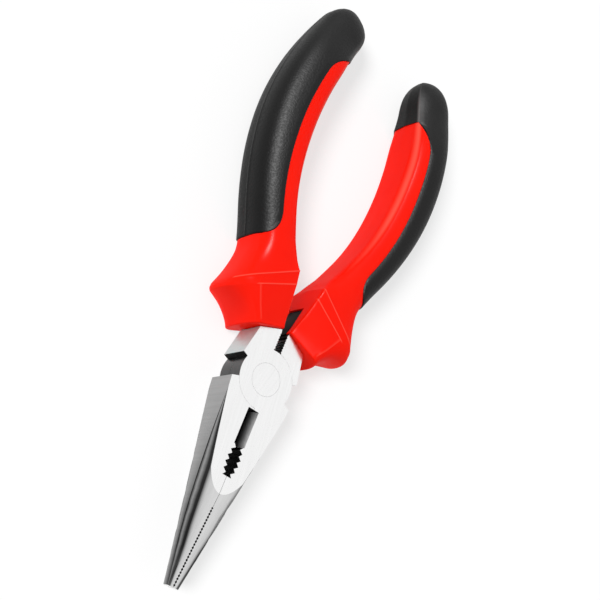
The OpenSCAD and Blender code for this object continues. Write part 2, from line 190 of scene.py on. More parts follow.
lit_by = {group: bpy.data.collections.new("lit_" + group) for group in ("sleeves", "overmoulds", "table")}
lit_by["table"].objects.link(floor)
for name, (kind, where, size, strength, group) in LAMPS.items():
    bpy.ops.object.light_add(type=kind, location=where)
    lamp = bpy.context.object
    lamp.name = name
    lamp.data.energy = strength
    setattr(lamp.data, "size" if kind == "AREA" else "angle", size)
    lamp.light_linking.receiver_collection = lit_by[group]
    lamp.visible_glossy = name not in PLAIN_LIGHT_ONLY
    lamp.visible_diffuse = name not in HIGHLIGHT_ONLY
    aim_at_joint(lamp)

print("lamps", sorted(LAMPS))

# %% [markdown]
# ## White table
# A lit white plane comes out grey wherever the light falls off. Part of the floor's brightness is therefore
# its own glow, added only for camera, mirror and glass rays. The lit part still carries the soft shadow.

# %% Floor material
TABLE_WHITE = 0.9
TABLE_GLOW = 0.66
LIT_SHARE = 0.3

white, tree, shader = new_material("white_table")
tree.nodes.remove(shader)
lit = add_node(tree, "ShaderNodeBsdfDiffuse", {"Color": grey(TABLE_WHITE)})
dim = add_node(tree, "ShaderNodeBsdfDiffuse", {"Color": grey(TABLE_WHITE * LIT_SHARE)})
glow = add_node(tree, "ShaderNodeEmission", {"Strength": TABLE_GLOW})
bright = add_node(tree, "ShaderNodeAddShader", {0: dim.outputs[0], 1: glow.outputs[0]})
seen = seen_directly(tree)
choose = add_node(tree, "ShaderNodeMixShader", {0: seen, 1: lit.outputs[0], 2: bright.outputs[0]})
tree.links.new(choose.outputs[0], tree.nodes["Material Output"].inputs["Surface"])
floor.data.materials.append(white)
print("table glow", TABLE_GLOW)

# %% [markdown]
# ## Shared surface effects
# Real surfaces are never one flat colour. Three effects are used by several finishes here, so each is a node
# group: fine parallel scratches, as a grinding belt leaves them, a fine even grain, as a mould's texture
# leaves it, and pale lines along moulded edges and creases, which are painted highlights. A group gives out
# plain values, and each material decides what they change.

# %% Group for scratches
def new_group(name, inputs, outputs):
    """An empty shader group with float sockets, or vector sockets where the default is a tuple."""
    group = bpy.data.node_groups.new(name, "ShaderNodeTree")
    for label, default in inputs.items():
        kind = "NodeSocketVector" if isinstance(default, tuple) else "NodeSocketFloat"
        socket = group.interface.new_socket(label, in_out="INPUT", socket_type=kind)
        socket.default_value = default
    for label in outputs:
        group.interface.new_socket(label, in_out="OUTPUT", socket_type="NodeSocketFloat")
    return group, add_node(group, "NodeGroupInput"), add_node(group, "NodeGroupOutput")


BELT_DEFAULTS = {"Spacing": (1000.0, 60.0, 1000.0), "Turn": (0.0, 0.0, 0.0)}

scratches, given, result = new_group("belt_scratches", BELT_DEFAULTS, ["Lines", "Cloud"])
spot = add_node(scratches, "ShaderNodeTexCoord").outputs["Object"]
turned = add_node(scratches, "ShaderNodeMapping", {"Vector": spot, "Rotation": given.outputs["Turn"]})
stretched = add_node(scratches, "ShaderNodeVectorMath", {0: turned.outputs[0], 1: given.outputs["Spacing"]},
                     operation="MULTIPLY")
lines = add_node(scratches, "ShaderNodeTexNoise",
                 {"Vector": stretched.outputs[0], "Scale": 1.0, "Detail": 4.0, "Roughness": 0.65})
cloud = add_node(scratches, "ShaderNodeTexNoise",
                 {"Vector": spot, "Scale": 160.0, "Detail": 2.0, "Roughness": 0.5})
scratches.links.new(lines.outputs["Fac"], result.inputs["Lines"])
scratches.links.new(cloud.outputs["Fac"], result.inputs["Cloud"])
print("group", scratches.name)

# %% Group for moulded grain
grain, given, result = new_group("moulded_grain", {"Grain Scale": 2600.0}, ["Grain", "Cloud"])
spot = add_node(grain, "ShaderNodeTexCoord").outputs["Object"]
fine = add_node(grain, "ShaderNodeTexNoise",
                {"Vector": spot, "Scale": given.outputs["Grain Scale"], "Detail": 2.0, "Roughness": 0.5})
cloud = add_node(grain, "ShaderNodeTexNoise",
                 {"Vector": spot, "Scale": 90.0, "Detail": 2.0, "Roughness": 0.5})
grain.links.new(fine.outputs["Fac"], result.inputs["Grain"])
grain.links.new(cloud.outputs["Fac"], result.inputs["Cloud"])
print("group", grain.name)

# %% Group for painted highlight lines
pale_line_group, given, result = new_group("painted_line_highlights", {"Low": 0.2, "Strength": 0.2}, ["Pale"])
line = add_node(pale_line_group, "ShaderNodeAttribute", attribute_name="highlight_strength").outputs["Fac"]
sharp = add_node(pale_line_group, "ShaderNodeMapRange",
                 {"Value": line, "From Min": given.outputs["Low"], "To Max": given.outputs["Strength"]})
pale_line_group.links.new(sharp.outputs[0], result.inputs["Pale"])
print("group", pale_line_group.name)

# %% [markdown]
# ## Tones by place
# A polished jaw in a light tent shows long dark and pale bands, where its round corner mirrors the gaps of
# the tent. Black cards round the tool could draw them, but each card also darkens whatever else mirrors it.
# So the bands are painted as tones, by how far along the jaw and how far round its corner a point lies. The
# bevels of the cutter get a painted shade in the same way, darker with their depth in the cut.

# %% Curves and places
MID_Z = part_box("pivot_rivet")[1][2] / MM / 2


def ramp_node(tree, value, points):
    """A colour ramp used as a curve: grey levels at places from 0 to 1."""
    node = add_node(tree, "ShaderNodeValToRGB", {0: value})
    while len(node.color_ramp.elements) > 1:
        node.color_ramp.elements.remove(node.color_ramp.elements[-1])
    for k, (where, level) in enumerate(points):
        stop = node.color_ramp.elements[0] if k == 0 else node.color_ramp.elements.new(where)
        stop.position = where
        stop.color = grey(level)
    return node.outputs[0]


def span(tree, value, low, high):
    """A value mapped from low..high to 0..1."""
    node = add_node(tree, "ShaderNodeMapRange", {"Value": value, "From Min": low, "From Max": high})
    return node.outputs[0]


def place_in_tool(tree):
    """Sockets for how far across, how far along and how far above the middle a point lies."""
    spot = add_node(tree, "ShaderNodeTexCoord").outputs["Object"]
    parts = add_node(tree, "ShaderNodeSeparateXYZ", {0: spot}).outputs
    height = maths(tree, "SUBTRACT", parts["Z"], MID_Z * MM)
    return maths(tree, "ABSOLUTE", parts["X"]), parts["Y"], height


print("half thickness", MID_Z, "mm")

# %% Group for the bands of the jaw
JAW = (-67.0, -9.0)
# where the round corner of the jaw starts and where its dark band ends, in right angles, tip to shoulder
CORNER_START = ((0, .316), (.086, .219), (.172, .161), (.259, .132), (.345, .129), (.431, .141),
                (.517, .161), (.69, .209), (.862, .257), (1, .294))
BAND_END = ((0, .58), (.2, .57), (.3, .53), (.6, .5), (.8, .38), (1, .31))
# tone round the corner: on this span its start is 0, the end of its dark band is 1, and the crown lies beyond
TURN_SPAN = (-0.2, 1.8)
BANDS = ((.10, .03), (.135, .03), (.24, .40), (.29, .30), (.42, .04), (.52, .03), (.62, .50), (.7, .65),
         (1, .72))
CROWN_TONE = 0.72
# how much darker the tip is, and the least tone that it keeps
TIP_FADE, TIP_DARK = ((0, 1), (.15, .6), (.6, 0)), 0.8
TIP_FLOOR = ((0, .10), (.2, .02), (.3, 0))
# tone of the outer side beside the front corner, tip to shoulder, and beside the rear corner
FLANK_FRONT = ((0, .05), (.35, .07), (.6, .28), (1, .44))
FLANK_REAR = 0.445

bands, _, result = new_group("jaw_bands", {}, ["Tone"])
across, along, height = place_in_tool(bands)
share = span(bands, along, JAW[0] * MM, JAW[1] * MM)
angle = maths(bands, "DIVIDE", maths(bands, "ARCTAN2", height, across), math.pi / 2)
start = ramp_node(bands, share, CORNER_START)
past = maths(bands, "SUBTRACT", maths(bands, "ABSOLUTE", angle), start)
turn = maths(bands, "DIVIDE", past, maths(bands, "SUBTRACT", ramp_node(bands, share, BAND_END), start))
tone = ramp_node(bands, span(bands, turn, *TURN_SPAN), BANDS)
below_crown = maths(bands, "SUBTRACT", 1.0, maths(bands, "DIVIDE", tone, CROWN_TONE))
fade = maths(bands, "MULTIPLY", below_crown, ramp_node(bands, share, TIP_FADE))
kept = maths(bands, "SUBTRACT", 1.0, maths(bands, "MULTIPLY", fade, TIP_DARK))
faded = maths(bands, "MULTIPLY", tone, kept)
corner_tone = maths(bands, "MAXIMUM", faded, ramp_node(bands, share, TIP_FLOOR))
forward = span(bands, maths(bands, "DIVIDE", angle, start), -1.0, 1.0)
fall = maths(bands, "SUBTRACT", ramp_node(bands, share, FLANK_FRONT), FLANK_REAR)
flank_tone = maths(bands, "ADD", maths(bands, "MULTIPLY", fall, forward), FLANK_REAR)
on_flank = maths(bands, "LESS_THAN", past, 0.0)
flank_part = maths(bands, "MULTIPLY", flank_tone, on_flank)
corner_part = maths(bands, "MULTIPLY", corner_tone, maths(bands, "SUBTRACT", 1.0, on_flank))
bands.links.new(maths(bands, "ADD", flank_part, corner_part), result.inputs["Tone"])
print("group", bands.name)

# %% Group for the painted shade of a cut
# a painted shade: darkest deep in the cut, gone at its face
CUT_DEPTH = (0.25, 0.95)
CUT_TONES = ((0, 0.06), (0.35, 0.25), (1, 1))

painted_cut_shade, _, result = new_group("painted_cut_shade", {}, ["Tone"])
_, _, height = place_in_tool(painted_cut_shade)
off_middle = maths(painted_cut_shade, "ABSOLUTE", height)
depth = span(painted_cut_shade, off_middle, *(MID_Z * MM * part for part in CUT_DEPTH))
painted_cut_shade.links.new(ramp_node(painted_cut_shade, depth, CUT_TONES), result.inputs["Tone"])
print("group", painted_cut_shade.name)

# %% [markdown]
# ## Steel finishes
# One forging shows several finishes. Its flat faces are ground on a belt and almost mirror white. The tapered
# nose and the outer sides of the jaws are polished and carry the painted bands of reflection. The outer sides
# of the tangs are satin, and the cutter's bevels get a painted shade that deepens with their depth. The fine
# teeth at the tip are dark steel. The rim of the disc is dark and the other cuts are near black, both painted
# shade, and the hidden bars are near black too. All of them are the same network with other values, so one
# function makes them.

# %% Steel
NOISE_SPAN = (0.3, 0.7)
ROUGH_SPREAD = 0.15
RELIEF_DEPTH = 0.0001
STEEL_BUMP = 0.03
# a Mix node has sockets for each kind of value, and these are the ones for colours
MIX_A, MIX_B, MIXED = 6, 7, 2


def mix_colours(tree, factor, a, b, blend="MIX"):
    """Two colours, plain or from sockets, mixed by a factor."""
    node = add_node(tree, "ShaderNodeMix", {"Factor": factor, MIX_A: a, MIX_B: b},
                    data_type="RGBA", blend_type=blend)
    return node.outputs[MIXED]


def rough_and_relief(tree, shader, rough_marks, roughness, relief_marks, bump):
    """Let one kind of marks shift the roughness a little, and another stand out as relief."""
    rough = add_node(tree, "ShaderNodeMapRange", {
        "Value": rough_marks, "From Min": NOISE_SPAN[0], "From Max": NOISE_SPAN[1],
        "To Min": roughness * (1 - ROUGH_SPREAD), "To Max": roughness * (1 + ROUGH_SPREAD)})
    relief = add_node(tree, "ShaderNodeBump",
                      {"Height": relief_marks, "Strength": bump, "Distance": RELIEF_DEPTH})
    tree.links.new(rough.outputs[0], shader.inputs["Roughness"])
    tree.links.new(relief.outputs[0], shader.inputs["Normal"])


def steel(name, bright, roughness, spacing, tone, turn=(0, 0, 0), shade=None, metal=1.0, gloss=0.5, tint=1.0):
    """Brushed steel: scratches shift its tone and roughness. shade is a group that gives painted tones by
    place.
    """
    material, tree, shader = new_material(name)
    marks = add_node(tree, "ShaderNodeGroup", {"Spacing": spacing, "Turn": turn}, node_tree=scratches)
    dark, light = grey(bright * (1 - tone), tint), grey(bright * (1 + tone / 2), tint)
    colour = mix_colours(tree, marks.outputs["Lines"], dark, light)
    if shade:
        by_place = add_node(tree, "ShaderNodeGroup", node_tree=shade)
        colour = mix_colours(tree, 1.0, colour, by_place.outputs["Tone"], blend="MULTIPLY")
    tree.links.new(colour, shader.inputs["Base Color"])
    rough_and_relief(tree, shader, marks.outputs["Cloud"], roughness, marks.outputs["Lines"], STEEL_BUMP)
    shader.inputs["Metallic"].default_value = metal
    shader.inputs["Specular IOR Level"].default_value = gloss
    return material


steels = [
    steel("ground_steel", 0.90, 0.26, spacing=(1400, 50, 1400), tone=0.08, turn=(0, 0, -0.12)),
    steel("nose_steel", 0.96, 0.30, spacing=(1600, 60, 1600), tone=0.14, shade=bands),
    steel("side_steel", 0.92, 0.30, spacing=(120, 1500, 60), tone=0.25, shade=bands),
    steel("satin_steel", 0.80, 0.40, spacing=(1500, 120, 200), tone=0.2, metal=0.25, tint=0.82),
    # the cutter's bevels get a painted shade with their depth
    steel("cutter_steel", 0.90, 0.40, spacing=(300, 900, 300), tone=0.2, shade=painted_cut_shade),
    # dark steel for the fine teeth, and a painted shade on the disc's rim
    steel("dark_steel", 0.09, 0.32, spacing=(200, 200, 1500), tone=0.3),
    # near black, a painted shade in the cuts, and also on the hidden bars
    steel("black_steel", 0.008, 0.5, spacing=(700, 700, 700), tone=0.4, metal=0.0, gloss=0.06),
]
GROUND, NOSE, SIDE, SATIN, EDGE, DARK, BLACK = range(len(steels))
print("steels", [finish.name for finish in steels])

# %% [markdown]
# ## The path of a grip
# Each handle leaves the joint along a straight line that leans outwards, then bows back inwards on a large
# arc. A curve object could carry that path. Here it is a formula, because then every piece of a grip gets its
# points in the same way, by how far along the path, across it and above it they lie, and the pieces fit.

# %% Path of the right grip
RIM_X, RIM_Y = 5.2, 15.8
LEAN = math.radians(23)
STRAIGHT = 38.8
BOW_RADIUS = 99.0
GRIP_LENGTH = 125.4


def place(along, across, height):
    """Points in the tool's frame, in metres, from places along, across and above the grip's path in mm."""
    along, across, height = np.broadcast_arrays(along, across, height)
    bend = np.maximum(along - STRAIGHT, 0) / BOW_RADIUS - LEAN
    bow_x = RIM_X + STRAIGHT * math.sin(LEAN) - BOW_RADIUS * math.cos(LEAN)
    bow_y = RIM_Y + STRAIGHT * math.cos(LEAN) + BOW_RADIUS * math.sin(LEAN)
    on_bow = along > STRAIGHT
    x = np.where(on_bow, bow_x + BOW_RADIUS * np.cos(bend), RIM_X + along * math.sin(LEAN))
    y = np.where(on_bow, bow_y + BOW_RADIUS * np.sin(bend), RIM_Y + along * math.cos(LEAN))
    return np.stack([x + across * np.cos(bend), y + across * np.sin(bend), MID_Z + height], -1) * MM


print("end of the grip's path at", place(GRIP_LENGTH, 0, 0).round(4))

# %% [markdown]
# ## Forged halves
# The two halves are one forging, used twice, and their cut teeth, disc and tang are already right in the
# construction model. So each half starts as a copy of its node. The copy's loose triangles are merged and
# its flat faces are made whole again. Then the faces get their finishes by where they lie and which way they
# look.

# %% Copy the steel
MERGE_REACH = 2e-6
FLAT_ANGLE = math.radians(0.5)


def make_active(piece):
    """Select one piece alone, so that the operators act on nothing else."""
    bpy.ops.object.select_all(action="DESELECT")
    piece.select_set(True)
    bpy.context.view_layer.objects.active = piece


def copy_mesh(mesh, name):
    """A new object with its own copy of a mesh."""
    piece = bpy.data.objects.new(name, mesh.copy())
    piece.data.name = name
    scene.collection.objects.link(piece)
    make_active(piece)
    return piece


def copy_node(node, name):
    """A new object with a copy of a node's mesh, merged into closed faces."""
    piece = copy_mesh(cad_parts[node].data, name)
    piece.data.materials.clear()
    bpy.ops.object.mode_set(mode="EDIT")
    bpy.ops.mesh.select_all(action="SELECT")
    bpy.ops.mesh.remove_doubles(threshold=MERGE_REACH)
    bpy.ops.mesh.dissolve_limited(angle_limit=FLAT_ANGLE)
    bpy.ops.object.mode_set(mode="OBJECT")
    return piece


def apply_modifier(piece, kind, **settings):
    """Add a modifier, set it and apply it."""
    make_active(piece)
    modifier = piece.modifiers.new(kind.lower(), kind)
    for name, value in settings.items():
        setattr(modifier, name, value)
    bpy.ops.object.modifier_apply(modifier=modifier.name)


def smooth_by_angle(piece, degrees):
    """Shade a piece smooth, and keep the edges sharp that are steeper than an angle."""
    make_active(piece)
    bpy.ops.object.shade_smooth_by_angle(angle=math.radians(degrees))


print("copy helpers ready")

# %% Finish of each face
# places in mm: end of the tip, fine teeth, cutter, joint's disc and where the tang goes into the grip
TIP_FACE = -66.0
NOSE_TEETH = -37.0
CUTTER = (-22.5, -10.3)
DISC_RADIUS, LAP_PLAY, BARE_DISC = 9.6, 0.35, 8.2
TANG_TOP = 15.0
# parts of a face's normal that tell which way it looks
TRUE_FLAT, NEARLY_FLAT, BEVELLED = 0.995, 0.88, 0.1
END_ON, SHOULDER = 0.6, 0.5
JAW_OUTER, TANG_OUTER = -0.2, 0.8


def jaw_finish(y, normal, outward):
    """Finish of a face of the jaw: its tapered nose, outer side, cutter and cut teeth."""
    if y < TIP_FACE and normal[1] < -END_ON:
        return GROUND
    if outward > JAW_OUTER and abs(normal[1]) < END_ON:
        return NOSE if abs(normal[2]) > NEARLY_FLAT else SIDE
    if CUTTER[0] < y < CUTTER[1] and abs(normal[2]) > BEVELLED:
        return EDGE
    # the fine teeth are dark steel, and the other cuts are near black as a painted shade
    return DARK if y < NOSE_TEETH else BLACK


def finish_of(centre, normal, jaw_side):
    """Which finish a face has. jaw_side is -1 for the half with the left jaw and 1 for the other."""
    x, y, _ = (c / MM for c in centre)
    outward = normal[0] * jaw_side
    radius = math.hypot(x, y)
    # near black: hidden inside the grip, and a painted shade where the guard's window shows the tang
    if y > TANG_TOP:
        return BLACK
    if abs(normal[2]) > TRUE_FLAT:
        return GROUND
    # the disc's wall is dark steel at its sides, a painted shade, and ground elsewhere
    if abs(radius - DISC_RADIUS) < LAP_PLAY:
        return DARK if abs(x) > BARE_DISC else GROUND
    if y < 0:
        return jaw_finish(y, normal, outward)
    if normal[1] < -SHOULDER and jaw_side < 0:
        return GROUND
    return SATIN if outward < -TANG_OUTER else BLACK


print("finish rules ready for", len(steels), "steels")

# %% [markdown]
# ## Fit of the joint
# The solids leave running room round the disc of the joint, and a real, fitted joint shows only a hairline
# there. The disc could be modelled anew, but its edge is a ring of points, so these points are moved out
# until only the hairline is left. The small pad on the tang is sloped in the same way, by moving the points
# at its end.

# %% Close the fit
DISC_FIT = 9.81
ON_DISC = 0.02
PAD_END, PAD_REACH, PAD_FACE, PAD_SLOPE = 10.9, 0.5, -4.0, 1.5


def close_fit(piece, jaw_side):
    """Bring the disc out to a hairline from its seat, and slope the pad up to the end of the window."""
    for vertex in piece.data.vertices:
        x, y, _ = (c / MM for c in vertex.co)
        radius = math.hypot(x, y)
        if abs(radius - DISC_RADIUS) < ON_DISC:
            vertex.co.x *= DISC_FIT / radius
            vertex.co.y *= DISC_FIT / radius
        dx, dy = -x * jaw_side - RIM_X, y - RIM_Y
        along = dx * math.sin(LEAN) + dy * math.cos(LEAN)
        across = dx * math.cos(LEAN) - dy * math.sin(LEAN)
        if PAD_END - PAD_REACH < along < PAD_END + PAD_REACH and across < PAD_FACE:
            vertex.co.x += jaw_side * PAD_SLOPE * math.cos(LEAN) * MM
            vertex.co.y += PAD_SLOPE * math.sin(LEAN) * MM


print("disc from", DISC_RADIUS, "to", DISC_FIT, "mm")

# %% [markdown]
# ## True curves of the jaw
# The outer side of a jaw is one gentle curve and its corner is a slim cone, but in the mesh both are strips
# of flat faces, and polished steel shows every strip. More faces would help a little. Here the shading gets
# the normals of the true curves instead, from a curve fitted through the points of the strips.

# %% Dress the halves
UPRIGHT = 0.03
CURVE_DEGREE = {"side": 2, "cone": 1}
STEEL_SMOOTH = 20


def true_normals(piece, jaw_side):
    """Shade the jaw's cone and outer side by their true curves instead of by their flat facets."""
    mesh = piece.data
    strips = {"side": [], "cone": []}
    for face in mesh.polygons:
        if face.material_index == SIDE and face.center.y < -DISC_RADIUS * MM:
            strips["side" if abs(face.normal.z) < UPRIGHT else "cone"].append(face)
    normals = np.zeros((len(mesh.loops), 3))
    for kind, faces in strips.items():
        spots = np.array([mesh.vertices[v].co for face in faces for v in face.vertices]) - (0, 0, MID_Z * MM)
        reach = np.abs(spots[:, 0]) if kind == "side" else np.hypot(spots[:, 0], spots[:, 2])
        slope = np.polyder(np.polyfit(spots[:, 1], reach, CURVE_DEGREE[kind]))
        for loop in (loop for face in faces for loop in face.loop_indices):
            spot = mesh.vertices[mesh.loops[loop].vertex_index].co
            out = np.array([jaw_side, 0, 0] if kind == "side" else [spot.x, 0, spot.z - MID_Z * MM])
            out = out / np.linalg.norm(out)
            out[1] = -np.polyval(slope, spot.y)
            normals[loop] = out / np.linalg.norm(out)
    mesh.normals_split_custom_set(normals)


def forged_half(node, jaw_side):
    """One dressed half: a merged copy with its close fit, its finishes and its true curves."""
    piece = copy_node(node, node + "_forging")
    close_fit(piece, jaw_side)
    for finish in steels:
        piece.data.materials.append(finish)
    for face in piece.data.polygons:
        face.material_index = finish_of(face.center, face.normal, jaw_side)
    smooth_by_angle(piece, STEEL_SMOOTH)
    true_normals(piece, jaw_side)
    return piece


halves = {"rear_half": forged_half("rear_half", -1), "front_half": forged_half("front_half", 1)}
for piece in halves.values():
    print(piece.name, len(piece.data.polygons), "faces")

# %% [markdown]
# ## Rivet
# The rivet is peened flat and ground together with the faces, so only a hairline ring shows it. It is a copy
# of its node with the same ground finish, its scratches turned a little because the halves move.

# %% Dress the rivet
rivet_steel = steel("rivet_steel", 0.90, 0.27, spacing=(1400, 50, 1400), tone=0.08, turn=(0, 0, 0.25))
rivet = copy_node("pivot_rivet", "pivot_rivet_head")
rivet.data.materials.append(rivet_steel)
smooth_by_angle(rivet, STEEL_SMOOTH)
print(rivet.name, len(rivet.data.polygons), "faces")

# %% [markdown]
# ## The section of a grip
# A grip's section has four lines that run along it: the outer line, an outer edge, an inner crease and the
# inner line. On the guard the outer edge and the crease are crisp corners of a block. On the handle only
# the crease stays and the rest is a round oval. So the section is worked out twice, as a block and as an
# oval, and the two are mixed. Two rows are crisp: they are the upper and lower edge of the guard's flange.

# %% Stations along the grip
# along, slant, outer line, edge across, edge height, crease across, crease height, inner line, crest, block
STATIONS = np.array([
    [0.0, 0.00, 10.2, 6.5, 9.1, -4.3, 6.6, -4.3, 9.1, 1.0],
    [6.5, 0.07, 12.2, 7.4, 9.65, -5.3, 7.9, -5.4, 9.7, 1.0],
    [13.2, 0.145, 17.55, 8.0, 10.15, -6.9, 9.0, -7.2, 10.15, 1.0],
    [14.9, 0.185, 17.75, 8.2, 10.16, -7.3, 9.1, -7.7, 10.16, 1.0],
    [16.9, 0.23, 17.0, 8.4, 10.17, -7.8, 9.2, -8.3, 10.17, 1.0],
    [19.2, 0.16, 13.4, 8.1, 9.6, -7.6, 8.8, -8.1, 10.0, 0.7],
    [22.0, 0.08, 10.6, 7.6, 8.6, -7.6, 8.2, -8.0, 9.7, 0.3],
    [25.5, 0.02, 8.4, 6.6, 7.4, -7.5, 7.9, -7.7, 9.4, 0.05],
    [29.0, 0.00, 7.6, 6.2, 6.8, -7.2, 7.7, -7.4, 9.3, 0.0],
    [40.0, 0.00, 7.5, 6.2, 6.8, -7.2, 7.7, -7.5, 9.3, 0.0],
    [73.0, 0.00, 8.65, 7.3, 7.0, -8.4, 8.0, -8.8, 9.7, 0.0],
    [96.0, 0.00, 8.65, 7.3, 7.0, -8.3, 7.8, -8.7, 9.7, 0.0],
    [117.0, 0.00, 8.7, 6.0, 5.0, -7.0, 5.0, -7.7, 6.8, 0.0],
])
CRISP_ROWS = (2, 4)


def station_slope(k, side):
    """Slope of the stations' values at one of them, taken from one side only at a crisp row."""
    rows = STATIONS
    if k in (0, len(rows) - 1):
        return np.zeros(rows.shape[1])
    a, b = (k - 1, k + 1)
    if k in CRISP_ROWS:
        a, b = (k - 1, k) if side < 0 else (k, k + 1)
    return (rows[b] - rows[a]) / (rows[b, 0] - rows[a, 0])


def section_values(along):
    """One row of section values at a place along the grip, smooth between the crisp rows."""
    rows = STATIONS
    i = int(np.clip(np.searchsorted(rows[:, 0], along, side="right") - 1, 0, len(rows) - 2))
    gap = rows[i + 1, 0] - rows[i, 0]
    u = min(1.0, (along - rows[i, 0]) / gap)
    start, end = station_slope(i, 1) * gap, station_slope(i + 1, -1) * gap
    return (rows[i] * (1 + 2 * u) * (1 - u) ** 2 + rows[i + 1] * u * u * (3 - 2 * u)
            + start * u * (1 - u) ** 2 - end * u * u * (1 - u))


print("stations", len(STATIONS))

# %% Front of a section
OVAL_SQUARENESS, FLANK_SQUARENESS = 2.9, 2.3
CREST_FALL = 2.6
EDGE_SHARE = 0.38
QUARTER_STEPS, BROW_STEPS = 60, 40


def along_line(points, shares):
    """Points on a polyline at shares of its length."""
    steps = np.linalg.norm(np.diff(points, axis=0), axis=1)
    length = np.concatenate([[0], np.cumsum(steps)]) / steps.sum()
    return np.stack([np.interp(shares, length, points[:, c]) for c in range(2)], -1)


def front_line(row, turns):
    """The front of a section: turn 0 is the outer line, 1 the edge, 2 the crease, 3 the inner line."""
    _, _, outer, edge_t, edge_z, crease_t, crease_z, inner, crest, block = row
    front = np.clip(turns, 0, 2)
    quarter = np.linspace(0, math.pi / 2, QUARTER_STEPS)
    oval = np.stack([outer * np.cos(quarter) ** (2 / OVAL_SQUARENESS),
                     crest * np.sin(quarter) ** (2 / OVAL_SQUARENESS)], -1)
    back = np.linspace(0, 1, BROW_STEPS)[1:]
    brow = np.stack([crease_t * back, crest - (crest - crease_z) * back ** CREST_FALL], -1)
    shares = np.where(front <= 1, front * EDGE_SHARE, EDGE_SHARE + (front - 1) * (1 - EDGE_SHARE))
    smooth = along_line(np.concatenate([oval, brow]), shares)
    flank = np.stack([edge_t + (outer - edge_t) * np.cos(quarter) ** (2 / FLANK_SQUARENESS),
                      edge_z * np.sin(quarter) ** (2 / FLANK_SQUARENESS)], -1)
    edge, crease = np.array([edge_t, edge_z]), np.array([crease_t, crease_z])
    face = edge + (crease - edge) * np.maximum(front - 1, 0)[:, None]
    hard = np.where(front[:, None] <= 1, along_line(flank, np.minimum(front, 1)), face)
    inner_side = crease + (np.array([inner, 0]) - crease) * np.clip(turns - 2, 0, 1)[:, None]
    return np.where(turns[:, None] > 2, inner_side, hard * block + smooth * (1 - block))


corners = front_line(section_values(0.0), np.arange(4.0))
print("lines of the rim, across and above:", corners.round(1).tolist())

# %% Ring round the grip
CREASE_ROUND = np.array([[0, 0.05], [17, 0.05], [26, 0.17], [90, 0.17], [106, 0.07], [130, 0.07]])
END_DOME = 12.0
END_SHIFT, END_SHIFT_START = 0.5, 104.0
PARTING_REACH = 0.045


def ramp(along, start, end):
    """0 before start, 1 after end, straight in between."""
    return min(1.0, max(0.0, (along - start) / (end - start)))


def section(along, turns, outset=0.0, parting=0.0):
    """A ring of points round the grip. Negative turns are the rear side, the mirror image of the front."""
    row = section_values(along)
    _, slant, outer, _, _, crease_t, crease_z, _, crest, _ = row
    turn = np.abs(turns)
    points = front_line(row, turn)
    reach = np.interp(along, CREASE_ROUND[:, 0], CREASE_ROUND[:, 1])
    near = (turn > 2 - reach) & (turn < 2 + 2 * reach)
    u = ((turn - 2 + reach) / (3 * reach))[:, None]
    ends = front_line(row, np.array([2 - reach, 2 + 2 * reach]))
    bent = ends[0] * (1 - u) ** 2 + 2 * u * (1 - u) * np.array([crease_t, crease_z]) + ends[1] * u * u
    points = np.where(near[:, None], bent, points)
    dome = math.sqrt(max(0.0, 1 - max(0.0, (along - GRIP_LENGTH + END_DOME) / END_DOME) ** 2))
    grow = outset + parting * np.exp(-(turns / PARTING_REACH) ** 2)
    across = points[:, 0] * (dome + grow / outer)
    across += END_SHIFT * ramp(along, END_SHIFT_START, GRIP_LENGTH) ** 2
    height = points[:, 1] * np.where(turns < 0, -1, 1) * (dome + outset / crest)
    return place(along - slant * across, across, height)


print("outer line of the rim at", section(0.0, np.zeros(1))[0].round(4))

# %% [markdown]
# ## Rolling a sheet round the path
# A grip could be a chain of extruded circles, but then every ring has to be shaped by hand. Here each skin
# starts as a flat grid with one row for each ring and one column for each point round it. The grid is then
# rolled round the path, row by row, and its two long sides are welded together. The columns follow the edge
# of the overmould, so that the sleeve and the overmould meet along it.

# %% Points of a ring
MOULD_START, MOULD_CLOSE = 29.0, 105.5
EDGE_RUN, CLOSE_RUN = 9.0, 13.0
LIP_TURN, RUN_TURN, TOP_TURN = 0.92, 1.46, 1.58
LIP_ROUNDNESS = 2.2
WALL_TURN = 0.03
# points on each side, front and rear
COVERED_POINTS, FRONT_POINTS, INNER_POINTS = 16, 18, 12
PARTING_TURNS = PARTING_REACH * np.array([0.0, 0.5, 1.0, 2.0])
PARTING_END = 4 * PARTING_REACH
CREASE_CROWDING = 1.6


def mould_edge(along):
    """Turn at which the overmould ends: the guard's outer edge, the handle's front, then the crease."""
    start = 1 + (LIP_TURN - 1) * ramp(along, MOULD_START - EDGE_RUN, MOULD_START)
    lip = (1 - (1 - ramp(along, MOULD_START, MOULD_START + EDGE_RUN)) ** LIP_ROUNDNESS) ** (1 / LIP_ROUNDNESS)
    run = RUN_TURN + (TOP_TURN - RUN_TURN) * ramp(along, MOULD_START + EDGE_RUN, MOULD_CLOSE - CLOSE_RUN)
    end = ramp(along, MOULD_CLOSE - CLOSE_RUN, MOULD_CLOSE)
    turn = start + (run - start) * lip
    return turn + (2 - turn) * end * end


def ring_turns(along, inset=0.0):
    """Turns of one ring's points, from the rear edge of the overmould round the outer side and back."""
    edge = mould_edge(along) - inset
    outer = np.linspace(PARTING_END, edge - WALL_TURN, COVERED_POINTS - len(PARTING_TURNS))
    half = np.concatenate([PARTING_TURNS, outer, [edge]])
    covered = np.concatenate([-half[:0:-1], half])
    front = 2 - (2 - edge) * (1 - np.linspace(0, 1, FRONT_POINTS + 1)[1:]) ** CREASE_CROWDING
    inner = 2 + np.linspace(0, 1, INNER_POINTS + 1)[1:] ** CREASE_CROWDING
    return np.concatenate([covered, front, inner, -inner[-2::-1], -front[::-1], [-edge]])


ring_size = len(ring_turns(0))
print("points in a ring", ring_size)

# %% Sheets
SEAM_REACH = 1e-6


